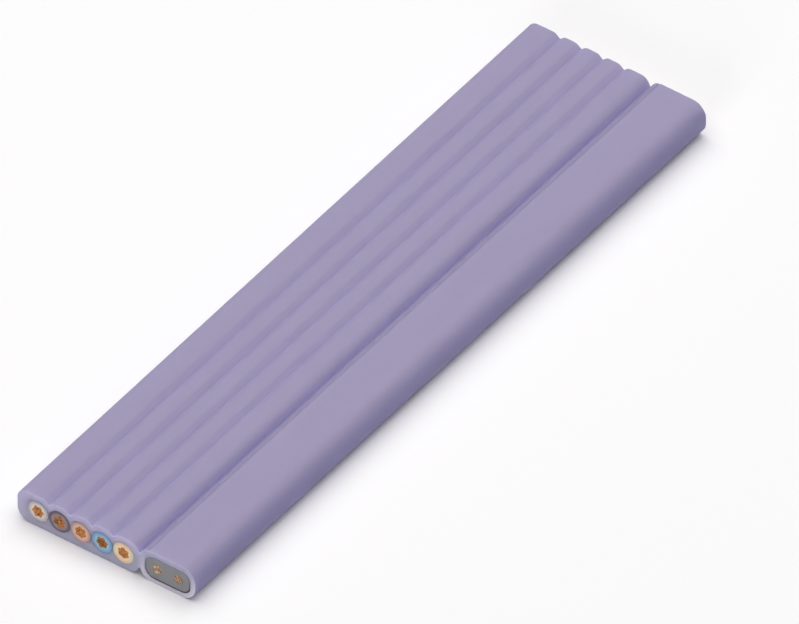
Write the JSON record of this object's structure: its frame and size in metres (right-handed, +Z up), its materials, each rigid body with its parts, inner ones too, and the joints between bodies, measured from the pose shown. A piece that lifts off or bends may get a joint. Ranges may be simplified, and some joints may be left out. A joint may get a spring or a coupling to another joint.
{
  "type": "flat hybrid power and bus cable",
  "caption": "Straight length of flat cable: insulated power cores in a row under a soft grooved sheath, and a flat bus section joined to them by a thin web.",
  "frame": {"origin": "middle of the underside, on the surface that the cable lies on", "axes": "+X across the cable from the power section to the bus section, +Y along it away from the near cut, +Z up"},
  "size_m": [0.0316, 0.125, 0.0058],
  "materials": {
    "sheath": "lilac soft plastic, satin as extruded, paler and duller where it is cut",
    "tape": "dark grey tape, dull",
    "bus_body": "grey soft plastic, dull cut face",
    "insulation_grey": "light grey, smooth outside, dull cut face",
    "insulation_black": "black, smooth outside, dull cut face",
    "insulation_brown": "light brown, smooth outside, dull cut face",
    "insulation_blue": "light blue, smooth outside, dull cut face",
    "insulation_green_yellow": "yellow with a green stripe on each side, smooth outside, dull cut face",
    "copper": "bare copper, drawn, with bright sheared ends"
  },
  "bodies": {
    "root": {"sheath": "sheath", "bus_tape": "tape", "bus_body": "bus_body", "core_grey_insulation": "insulation_grey", "core_grey_strand_1": "copper", "core_grey_strand_2": "copper", "core_grey_strand_3": "copper", "core_grey_strand_4": "copper", "core_grey_strand_5": "copper", "core_grey_strand_6": "copper", "core_grey_strand_7": "copper", "core_black_insulation": "insulation_black", "core_black_strand_1": "copper", "core_black_strand_2": "copper", "core_black_strand_3": "copper", "core_black_strand_4": "copper", "core_black_strand_5": "copper", "core_black_strand_6": "copper", "core_black_strand_7": "copper", "core_brown_insulation": "insulation_brown", "core_brown_strand_1": "copper", "core_brown_strand_2": "copper", "core_brown_strand_3": "copper", "core_brown_strand_4": "copper", "core_brown_strand_5": "copper", "core_brown_strand_6": "copper", "core_brown_strand_7": "copper", "core_blue_insulation": "insulation_blue", "core_blue_strand_1": "copper", "core_blue_strand_2": "copper", "core_blue_strand_3": "copper", "core_blue_strand_4": "copper", "core_blue_strand_5": "copper", "core_blue_strand_6": "copper", "core_blue_strand_7": "copper", "core_green_yellow_insulation": "insulation_green_yellow", "core_green_yellow_strand_1": "copper", "core_green_yellow_strand_2": "copper", "core_green_yellow_strand_3": "copper", "core_green_yellow_strand_4": "copper", "core_green_yellow_strand_5": "copper", "core_green_yellow_strand_6": "copper", "core_green_yellow_strand_7": "copper", "bus_left_strand_1": "copper", "bus_left_strand_2": "copper", "bus_left_strand_3": "copper", "bus_left_strand_4": "copper", "bus_left_strand_5": "copper", "bus_left_strand_6": "copper", "bus_left_strand_7": "copper", "bus_right_strand_1": "copper", "bus_right_strand_2": "copper", "bus_right_strand_3": "copper", "bus_right_strand_4": "copper", "bus_right_strand_5": "copper", "bus_right_strand_6": "copper", "bus_right_strand_7": "copper"}
  },
  "joints": []
}
